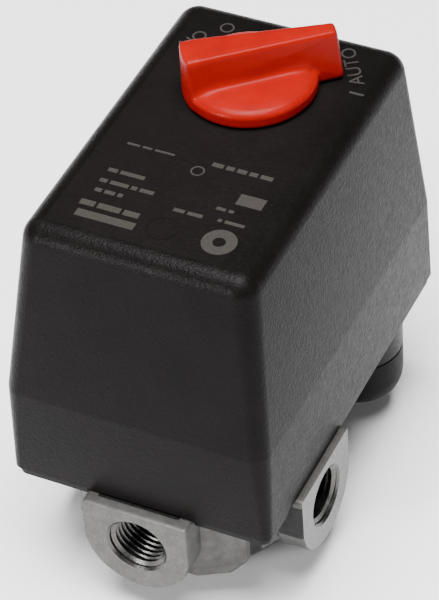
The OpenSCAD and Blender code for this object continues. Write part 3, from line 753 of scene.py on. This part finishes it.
# ---------------------------------------------------------------- knob
class MakeKnob(Operator):
    """Model the selector knob: a domed skirt with a tapered pointer handle"""
    bl_idname = "pressure_switch.knob"
    bl_label = "Selector knob"

    def execute(self, context):
        k = context.scene.switch_knob
        low, high = KNOB_LOW.z, KNOB_HIGH.z
        r, dome = k.skirt_r, low + k.skirt_h
        skirt = turned([(r - 0.5 * MM, low), (r, low + 0.5 * MM), (r, dome - 1.9 * MM),
                        (r - 0.25 * MM, dome - 1.35 * MM), (r - 0.9 * MM, dome - 0.8 * MM),
                        (r - 2.2 * MM, dome - 0.3 * MM), (r - 4 * MM, dome - 0.04 * MM),
                        (r - 6 * MM, dome)], 96)
        handle = self.handle(k, low, high)
        clip = turned([(r - 0.05 * MM, low - MM), (r - 0.05 * MM, high + MM)], 96)
        combine(clip, block((0, -r, low - MM), (k.reach + 3 * MM, r, high + MM)), "UNION")
        combine(handle, clip, "INTERSECT")
        edit(handle, "EDGE")
        pick(handle, lambda c, d: c.z > high - FINE, "EDGE")
        bpy.ops.mesh.bevel(offset=0.75 * MM, segments=4, affect="EDGES")
        done()
        knob = combine(skirt, handle, "UNION")
        modify(knob, "REMESH", mode="VOXEL", voxel_size=0.24 * MM)
        modify(knob, "SMOOTH", factor=0.5, iterations=5)
        edit(knob, "VERT")
        pick(knob, lambda v: dome - 1.2 * MM < v.z < dome + 4.2 * MM
             and v.xy.length < r - 1.6 * MM, "VERT")
        bpy.ops.mesh.vertices_smooth(factor=0.5, repeat=80)
        bpy.ops.mesh.select_all(action="DESELECT")
        pick(knob, lambda v: v.x < 3.2 * MM - r and v.z > low + 3 * MM, "VERT")
        bpy.ops.mesh.vertices_smooth(factor=0.5, repeat=30)
        done()
        step, wide, narrow = low + 2.4 * MM, 4 * MM, 2.2 * MM
        bore = tidy(turned([(wide, low - MM), (wide, step), (narrow, step),
                            (narrow, SHAFT_HIGH.z + 0.1 * MM)], 48))
        combine(knob, bore, "DIFFERENCE")
        knob.matrix_world = (Matrix.Translation((0, KNOB_Y, 0))
                             @ Matrix.Rotation(k.turn, 4, "Z"))
        settle(knob)
        tidy(knob, 60)
        place(wear(knob, "knob"), "selector_knob", "selector", "knob_plastic", "knob")
        return {"FINISHED"}

    def handle(self, k, low, high):
        """A bar that is wide at the heel and narrow at the pointer, drawn in towards its top."""
        heel, tip = -k.skirt_r, k.reach
        foot = 1 * MM
        heel_foot, tip_foot = k.heel + 2 * MM, k.tip + MM
        bpy.ops.mesh.primitive_plane_add(size=2 * MM, location=(0, 0, low))
        bar = settle(bpy.context.object)
        edit(bar, "VERT")
        for side, x, half in ((-1, heel - foot, heel_foot), (1, tip + foot, tip_foot)):
            bpy.ops.mesh.select_all(action="DESELECT")
            pick(bar, lambda v, s=side: v.x * s > 0, "VERT")
            bpy.ops.transform.resize(value=(1, half / MM, 1), center_override=(0, 0, low))
            bpy.ops.transform.translate(value=(x - side * MM, 0, 0))
        bpy.ops.mesh.select_all(action="SELECT")
        bpy.ops.mesh.extrude_region_move(
            TRANSFORM_OT_translate={"value": (0, 0, high - low)})
        for side, was, now, x in ((-1, heel_foot, k.heel, foot),
                                  (1, tip_foot, k.tip, -foot)):
            bpy.ops.mesh.select_all(action="DESELECT")
            pick(bar, lambda v, s=side: v.x * s > 0 and v.z > high - FINE, "VERT")
            bpy.ops.transform.resize(value=(1, now / was, 1), center_override=(0, 0, high))
            bpy.ops.transform.translate(value=(x, 0, 0))
        bpy.ops.mesh.select_all(action="SELECT")
        bpy.ops.mesh.normals_make_consistent(inside=False)
        bpy.ops.mesh.select_all(action="DESELECT")
        pick(bar, lambda c, d: abs(d.z) > 0.5, "EDGE")
        bpy.ops.mesh.bevel(offset=0.9 * MM, segments=4, affect="EDGES")
        done()
        return bar


# ---------------------------------------------------------------- manifold
def boss(s, reach, r, back, turn):
    """A boss with a round lower half and a flat top, its face at x = reach."""
    depth = reach - back
    bpy.ops.mesh.primitive_cylinder_add(
        vertices=72, radius=r, depth=depth, location=(back + depth / 2, 0, s.port_z),
        rotation=(0, math.pi / 2, 0))
    obj = settle(bpy.context.object)
    edit(obj)
    bpy.ops.mesh.select_all(action="SELECT")
    bpy.ops.mesh.bisect(plane_co=(0, 0, s.port_z), plane_no=(0, 0, 1), use_fill=True,
                        clear_outer=True)
    bpy.ops.mesh.select_all(action="DESELECT")
    pick(obj, lambda c, n: n.z > 0.99 or n.z < -0.99 and c.z > s.port_z - FINE)
    bpy.ops.mesh.extrude_region_move(
        TRANSFORM_OT_translate={"value": (0, 0, CAST_HIGH.z - s.port_z)})
    done()
    tidy(obj)
    obj.matrix_world = Matrix.Rotation(turn, 4, "Z")
    return settle(obj)


def casting_web(s):
    """The web on both sides of the front port, with its lower outer corners cut off."""
    inner, shoulder = 10.2 * MM, -16.6 * MM
    corner = 3 * MM
    front = CAST_LOW.y + s.boss_t + 0.4 * MM
    low = s.port_z - s.boss_r
    web = block((-WEB_X, shoulder, low), (WEB_X, WEB_BACK, SEAT_Z))
    edit(web)
    pick(web, lambda c, n: n.y < -0.9)
    bpy.ops.mesh.extrude_region_move(TRANSFORM_OT_translate={"value": (0, front - shoulder, 0)})
    bpy.ops.transform.resize(value=(inner / WEB_X, 1, 1), center_override=(0, front, low))
    for side in (-1, 1):
        bpy.ops.mesh.select_all(action="SELECT")
        bpy.ops.mesh.bisect(plane_co=(side * (WEB_X - corner), 0, low),
                            plane_no=(side * 4.4, 0, -3), use_fill=True, clear_outer=True)
    done()
    return tidy(web)


class MakeManifold(Operator):
    """Model the cast manifold: rounded casting first, then the machined faces and bores"""
    bl_idname = "pressure_switch.manifold"
    bl_label = "Manifold"

    def execute(self, context):
        s = context.scene.switch_casting
        stock = 0.3 * MM
        ports = [(0, CAST_HIGH.x), (math.pi, -CAST_LOW.x), (-math.pi / 2, -CAST_LOW.y)]
        bowl = turned([(BOWL_R - 2 * MM, 9.8 * MM), (BOWL_R - 0.6 * MM, 10.3 * MM),
                       (BOWL_R, 11.6 * MM), (BOWL_R, SEAT_Z)], 12, twist=math.radians(15))
        hexagon = 13.86 * MM
        wrench = turned([(13.2 * MM, -stock), (hexagon, 0.8 * MM), (hexagon, 10.6 * MM),
                         (15 * MM, 11.4 * MM)], 6, twist=math.radians(30))
        parts = [bowl, wrench, casting_web(s)]
        for turn, reach in ports:
            parts.append(boss(s, reach + stock, s.boss_r, reach - s.boss_t, turn))
            parts.append(boss(s, reach - MM, s.boss_r - 1.4 * MM, 17 * MM, turn))
        cast = join(parts, "casting")
        modify(cast, "REMESH", mode="VOXEL", voxel_size=0.46 * MM)
        modify(cast, "SMOOTH", factor=0.5, iterations=5)
        wear(cast, "cast", "bowl")
        # The bowl's wall and the rim below it take the darker bowl finish: painted shade.
        edit(cast)
        pick(cast, lambda c, n: self.on_bowl(s, c))
        cast.active_material_index = 1
        bpy.ops.object.material_slot_assign()
        done()
        for tool in self.cutters(s, ports, stock):
            combine(cast, wear(tool, "machined"), "DIFFERENCE")
        tidy(cast, 30)
        place(cast, "manifold_casting", "root", "cast_alloy", "manifold")
        return {"FINISHED"}

    def on_bowl(self, s, at):
        """Whether a place on the casting is on the bowl's wall or the rim below it, where painted
        shade goes.
        """
        away = at.xy.length
        beside_web = abs(at.x) > WEB_X + 0.1 * MM
        wall = (away > 22.5 * MM and at.z < SEAT_Z - 0.4 * MM
                and (at.y > WEB_BACK - 0.4 * MM or beside_web)
                and abs(at.y) > s.boss_r - 0.2 * MM)
        rim = 15 * MM < away < BOWL_R + GAP and at.z < 11.5 * MM and beside_web
        return wall or rim

    def cutters(self, s, ports, stock):
        """The shapes that the machining takes away."""
        top, over, duct_r, deep = CAST_HIGH.z, 30 * MM, 4 * MM, 12.6 * MM
        seat = block((-25 * MM, -22.2 * MM, SEAT_Z), (25 * MM, 40 * MM, 34 * MM))
        underside = block((-20 * MM, -20 * MM, -2 * MM), (20 * MM, 20 * MM, 0))
        riser = turned([(duct_r, 10 * MM), (duct_r, 24 * MM)], 40)
        chamber = turned([(12 * MM, 23.4 * MM), (12 * MM, over)], 60)
        recess = turned([(17.5 * MM, 26.4 * MM), (17.5 * MM, over)], 72)
        upper = block((-40 * MM, -40 * MM, top), (40 * MM, 40 * MM, top + 4 * MM))
        tools = [seat, underside, riser, chamber, recess, upper]
        bore = [(s.mouth_r + 2 * MM, -2 * MM), (s.root_r, s.mouth_r - s.root_r),
                (s.root_r, deep), (3.4 * MM, 15 * MM)]
        for turn, reach in ports:
            face = block((reach, -14 * MM, 0), (reach + 2 * MM, 14 * MM, 34 * MM))
            drill = tidy(turned(bore, 64, twist=math.radians(2.3)))
            duct = tidy(turned([(duct_r, 14 * MM), (duct_r, reach - 2.3 * MM)], 40,
                               twist=math.radians(1.7)))
            for tool in (drill, duct):
                tool.matrix_world = (Matrix.Translation((reach, 0, s.port_z))
                                     @ Matrix.Rotation(-math.pi / 2, 4, "Y"))
                settle(tool)
            for tool in (face, drill, duct):
                tool.matrix_world = Matrix.Rotation(turn, 4, "Z")
                tools.append(settle(tool))
        tank = [(s.root_r + 2.5 * MM, -2 * MM), (s.root_r + 0.5 * MM, 0),
                (s.root_r, 0.5 * MM), (s.root_r, deep), (3 * MM, 15 * MM)]
        tools.append(tidy(turned(tank, 64)))
        return tools


class MakeThreads(Operator):
    """Cut one pipe thread, its crests trimmed by the countersink, and copy it into each port"""
    bl_idname = "pressure_switch.threads"
    bl_label = "Port threads"

    def execute(self, context):
        s = context.scene.switch_casting
        mid = (s.root_r + s.crest_r) / 2
        deep = s.root_r - s.crest_r
        crest_half, root_half = 0.08 * MM, s.pitch / 2 - 0.05 * MM
        lead_in, steps = 0.9 * MM, 56
        bpy.ops.mesh.primitive_plane_add(size=deep, location=(mid + 0.02 * MM, 0, 0),
                                         rotation=(math.pi / 2, 0, 0))
        thread = settle(bpy.context.object)
        edit(thread, "VERT")
        for side, half in ((-1, crest_half), (1, root_half)):
            bpy.ops.mesh.select_all(action="DESELECT")
            pick(thread, lambda v, g=side: (v.x - mid) * g > 0, "VERT")
            bpy.ops.transform.resize(value=(1, 1, half / (deep / 2)), center_override=(mid, 0, 0))
        bpy.ops.mesh.select_all(action="SELECT")
        bpy.ops.mesh.delete(type="ONLY_FACE")
        done()
        modify(thread, "SCREW", angle=2 * math.pi, screw_offset=s.pitch, iterations=s.turns,
               steps=steps, render_steps=steps, use_merge_vertices=False)
        edit(thread, "EDGE")
        bpy.ops.mesh.select_all(action="SELECT")
        bpy.ops.mesh.remove_doubles(threshold=FINE)
        bpy.ops.mesh.select_all(action="DESELECT")
        bpy.ops.mesh.select_non_manifold()
        bpy.ops.mesh.fill_holes(sides=4)
        done()
        tidy(thread)
        thread.location = (0, 0, lead_in)
        settle(thread)
        cone = tidy(turned([(s.mouth_r + MM, -MM), (s.mouth_r, 0),
                            (s.crest_r, s.mouth_r - s.crest_r),
                            (s.crest_r - MM, s.mouth_r - s.crest_r + 0.1 * MM)], 64))
        combine(thread, cone, "DIFFERENCE")
        tidy(thread, 25)
        wear(thread, "machined")
        into = Matrix.Rotation(-math.pi / 2, 4, "Y")
        ports = {
            "front": Matrix.Translation((0, CAST_LOW.y, s.port_z))
            @ Matrix.Rotation(-math.pi / 2, 4, "Z") @ into,
            "right": Matrix.Translation((CAST_HIGH.x, 0, s.port_z)) @ into,
            "left": Matrix.Translation((CAST_LOW.x, 0, s.port_z))
            @ Matrix.Rotation(math.pi, 4, "Z") @ into,
            "tank": Matrix.Identity(4),
        }
        for name, matrix in ports.items():
            place(copy_of(thread, matrix), name + "_port_thread", "root", "cast_alloy")
        bpy.data.objects.remove(thread, do_unlink=True)
        return {"FINISHED"}


# ---------------------------------------------------------------- base and cable entries
class MakeBase(Operator):
    """Model the base: its rim, its lip inside the cover and the sleeves of the cable entries"""
    bl_idname = "pressure_switch.base"
    bl_label = "Base"

    def execute(self, context):
        x, y0, y1 = BASE_HIGH.x, BASE_LOW.y, BASE_HIGH.y
        low, e = SEAT_Z, 0.35 * MM
        rim_top, lip_top, floor_top = low + 2 * MM, BASE_HIGH.z, low + 3 * MM
        lip, lip_in, r = 1.9 * MM, 3.9 * MM, 2.4 * MM

        def at(inset, z, radius):
            return Outline(x - inset, y0 + inset, y1 - inset, radius, z)

        tray = stacked([at(e, low, r - e), at(0, low + e, r), at(0, rim_top - 0.2 * MM, r),
                        at(0.2 * MM, rim_top, r), at(lip, rim_top, 1.2 * MM),
                        at(lip, lip_top - 0.3 * MM, 1.2 * MM), at(lip + 0.3 * MM, lip_top, MM),
                        at(lip_in, lip_top, 0.6 * MM), at(lip_in, floor_top, 0.6 * MM)], 7)
        tidy(tray)
        neck_r, neck_low, shoulder = 8 * MM, 13.6 * MM, 20 * MM
        for sx in (-1, 1):
            sleeve = turned([(neck_r, neck_low), (neck_r, shoulder), (GLAND_R - GAP, shoulder),
                             (GLAND_R, shoulder + GAP), (GLAND_R, low - 0.4 * MM),
                             (GLAND_R + 0.4 * MM, low + MM)], 72, (sx * GLAND_X, GLAND_Y))
            combine(tray, tidy(sleeve), "UNION")
        plate_r, cable_r, shank_r, pocket_r = 12 * MM, 6.8 * MM, 1.8 * MM, 3.5 * MM
        under, above = low - 4 * MM, low + 12 * MM
        tools = [turned([(plate_r, under), (plate_r, above)], 60)]
        for sx in (-1, 1):
            tools.append(turned([(cable_r, neck_low - 3.6 * MM), (cable_r, above)], 48,
                                (sx * GLAND_X, GLAND_Y)))
        for at_screw in SCREW_PLACES:
            tools.append(turned([(shank_r, under), (shank_r, above)], 32, at_screw))
            tools.append(turned([(pocket_r, 18 * MM), (pocket_r, low + 0.15 * MM)], 32, at_screw))
        slot = 6.2 * MM + GAP
        half, slot_low = 12.5 * MM, low - 8 * MM
        tools += [block((-half, CAST_LOW.y - MM, slot_low), (half, CAST_LOW.y + slot, rim_top)),
                  block((CAST_HIGH.x - slot, -half, slot_low), (CAST_HIGH.x + MM, half, rim_top)),
                  block((CAST_LOW.x - MM, -half, slot_low), (CAST_LOW.x + slot, half, rim_top))]
        for tool in tools:
            combine(tray, tidy(tool), "DIFFERENCE")
        tidy(tray, 32)
        place(wear(tray, "base"), "base_tray", "root", "base_plastic", "base")
        return {"FINISHED"}


class MakeGlands(Operator):
    """Model the nut of a cable entry once and copy it to the other side"""
    bl_idname = "pressure_switch.glands"
    bl_label = "Cable entries"

    def execute(self, context):
        low, top = NUT_LOW.z, NUT_HIGH.z
        thread_r, seal_r, mouth_r = 8.1 * MM, 6.9 * MM, 5.4 * MM
        thread_end, seal_end = low + 5.1 * MM, low + 2.1 * MM
        inside = [(thread_r, top), (thread_r, thread_end), (seal_r, thread_end),
                  (seal_r, seal_end), (mouth_r, seal_end), (mouth_r, low + 0.4 * MM),
                  (mouth_r + 0.4 * MM, low)]
        dome_r, dome_h, steps = 1.9 * MM, 5 * MM, 8
        dome = [(GLAND_R - dome_r, low)]
        for i in range(1, steps + 1):
            a = math.radians(90 * i / steps)
            dome.append((GLAND_R - dome_r + dome_r * math.sin(a),
                         low + dome_h * (1 - math.cos(a))))
        outside = [(GLAND_R, top - GAP), (GLAND_R - GAP, top)]
        nut = turned(inside + dome + outside, 72, (GLAND_X, GLAND_Y), tube=True)
        tidy(nut, 32)
        wear(nut, "gland")
        twin = copy_of(nut, Matrix.Translation((-2 * GLAND_X, 0, 0)))
        place(nut, "cable_nut_right", "root", "gland_plastic", "gland_nut_right")
        place(twin, "cable_nut_left", "root", "gland_plastic", "gland_nut_left")
        return {"FINISHED"}


class MakeScrews(Operator):
    """Model one pan-head cover screw with a cross recess and copy it to the four corners"""
    bl_idname = "pressure_switch.screws"
    bl_label = "Cover screws"

    def execute(self, context):
        low, head_top, shank_r, recess = SCREW_LOW.z, SCREW_LOW.z + 2 * MM, 1.75 * MM, 1.1 * MM
        head = turned([(0.6 * MM, low), (2.2 * MM, low + 0.1 * MM), (2.9 * MM, low + 0.5 * MM),
                       (HEAD_R, low + 1.1 * MM), (HEAD_R, head_top), (shank_r, head_top),
                       (shank_r, SCREW_HIGH.z - 1.2 * MM), (0.6 * MM, SCREW_HIGH.z)], 40)
        tidy(head)
        arm, half = 1.7 * MM, 0.32 * MM
        for x, y in ((arm, half), (half, arm)):
            combine(head, block((-x, -y, low - MM), (x, y, low + recess)), "DIFFERENCE")
        tidy(head, 32)
        wear(head, "zinc")
        made = [copy_of(head, Matrix.Translation((x, y, 0))) for x, y in SCREW_PLACES]
        bpy.data.objects.remove(head, do_unlink=True)
        for i, screw in enumerate(made):
            place(screw, f"cover_screw_{i + 1}", "root", "zinc_steel", "cover_screws")
        return {"FINISHED"}


# ---------------------------------------------------------------- CAD pieces that stay
class FinishNodes(Operator):
    """Give every CAD piece its finish"""
    bl_idname = "pressure_switch.nodes"
    bl_label = "Inner pieces"

    KINDS = {
        "cover": "cover", "base": "base", "manifold": "cast", "knob": "knob",
        "manifold_screws": "zinc", "cover_screws": "zinc", "diaphragm": "rubber",
        "pressure_plate": "zinc", "frame": "zinc", "rocker_lever": "zinc", "pivot_pin": "zinc",
        "pivot_clips": "clip", "spring_seat": "zinc", "range_spring": "spring",
        "range_nut": "brass", "range_screw": "zinc", "diff_spring": "spring",
        "diff_nut": "brass", "diff_screw": "zinc", "contact_block": "block",
        "fixed_contacts": "brass", "contact_carrier": "carrier", "bridge_contacts": "brass",
        "contact_spring": "spring", "terminal_plates": "zinc", "terminal_screws": "zinc",
        "earth_screws": "brass", "selector_shaft": "shaft", "shaft_clip": "clip",
        "detent_spring": "spring", "off_slider": "slider", "gland_nut_left": "gland",
        "gland_nut_right": "gland", "gland_seals": "rubber",
    }

    def execute(self, context):
        for name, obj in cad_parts.items():
            for slot in obj.material_slots:
                slot.material = finish(self.KINDS[name])
        return {"FINISHED"}


# ---------------------------------------------------------------- stage
def area_light(name, place, target, size, power, colour=(1, 1, 1)):
    """A soft light aimed at a point."""
    bpy.ops.object.light_add(type="AREA", location=place)
    lamp = bpy.context.object
    lamp.name = name
    lamp.data.shape = "RECTANGLE"
    lamp.data.size, lamp.data.size_y = size
    lamp.data.energy = power
    lamp.data.color = colour
    aim = Vector(target) - Vector(place)
    lamp.rotation_euler = aim.to_track_quat("-Z", "Y").to_euler()
    return lamp


class MakeStage(Operator):
    """Set the pale floor, the soft lights and the camera"""
    bl_idname = "pressure_switch.stage"
    bl_label = "Stage"

    def execute(self, context):
        bpy.ops.mesh.primitive_plane_add(size=6, location=(0, 0, -0.05 * MM))
        floor = bpy.context.object
        floor.name = "floor"
        floor.data.materials.append(pale_floor("floor_white", (0.92, 0.92, 0.92)))
        world = bpy.data.worlds.new("soft_room")
        world.use_nodes = True
        world.node_tree.nodes["Background"].inputs["Color"].default_value = (1, 1, 1, 1)
        world.node_tree.nodes["Background"].inputs["Strength"].default_value = 0.10
        context.scene.world = world
        middle = (0, 0.02, 0.05)
        area_light("key_front_left", (-0.43, -1.02, 0.42), middle, (0.16, 0.16), 13.0)
        area_light("fill_right", (0.95, -0.15, 0.62), middle, (0.5, 0.5), 1.2)
        area_light("overhead", (0.05, -0.15, 1.6), middle, (1.0, 1.0), 92)
        self.camera(context)
        return {"FINISHED"}

    def camera(self, context):
        """A long lens above the right front corner, rolled a little to the left."""
        place = Vector((0.2357, -0.4279, 0.5216))
        ahead = Vector((-0.342, 0.646, -0.682)).normalized()
        roll = math.radians(-4.33)
        level = ahead.cross(Vector((0, 0, 1))).normalized()
        up = level.cross(ahead)
        right = level * math.cos(roll) + up * math.sin(roll)
        top = (-ahead).cross(right)
        turn = Matrix((right, top, -ahead)).transposed()
        bpy.ops.object.camera_add(location=place, rotation=turn.to_euler())
        cam = context.object
        cam.name = "camera"
        cam.data.lens = 193.36
        cam.data.sensor_width = 36
        cam.data.clip_start = 0.01
        cam.data.clip_end = 20
        context.scene.camera = cam


STEPS = (MakeCover, MakeMarks, MakeKnob, MakeManifold, MakeThreads, MakeBase, MakeGlands,
         MakeScrews, FinishNodes, MakeStage)
GROUPS = {"switch_cover": CoverSizes, "switch_knob": KnobSizes, "switch_casting": CastingSizes,
          "switch_colours": Colours}


class SwitchPanel(Panel):
    """Lists the pieces and their sizes"""
    bl_idname = "VIEW3D_PT_pressure_switch"
    bl_label = "Pressure switch"
    bl_space_type = "VIEW_3D"
    bl_region_type = "UI"
    bl_category = "Pressure switch"

    def draw(self, context):
        for step in STEPS:
            self.layout.operator(step.bl_idname)
        for key in GROUPS:
            group = getattr(context.scene, key)
            for name in group.__annotations__:
                self.layout.prop(group, name)


def register():
    for cls in (*GROUPS.values(), *STEPS, SwitchPanel):
        bpy.utils.register_class(cls)
    for key, cls in GROUPS.items():
        setattr(bpy.types.Scene, key, PointerProperty(type=cls))


def unregister():
    for key in GROUPS:
        delattr(bpy.types.Scene, key)
    for cls in (SwitchPanel, *reversed(STEPS), *GROUPS.values()):
        bpy.utils.unregister_class(cls)


def main():
    """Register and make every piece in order."""
    register()
    for step in STEPS:
        group, name = step.bl_idname.split(".")
        if getattr(getattr(bpy.ops, group), name)() != {"FINISHED"}:
            raise RuntimeError(step.bl_label + " was not made")


if __name__ == "__main__":
    main()
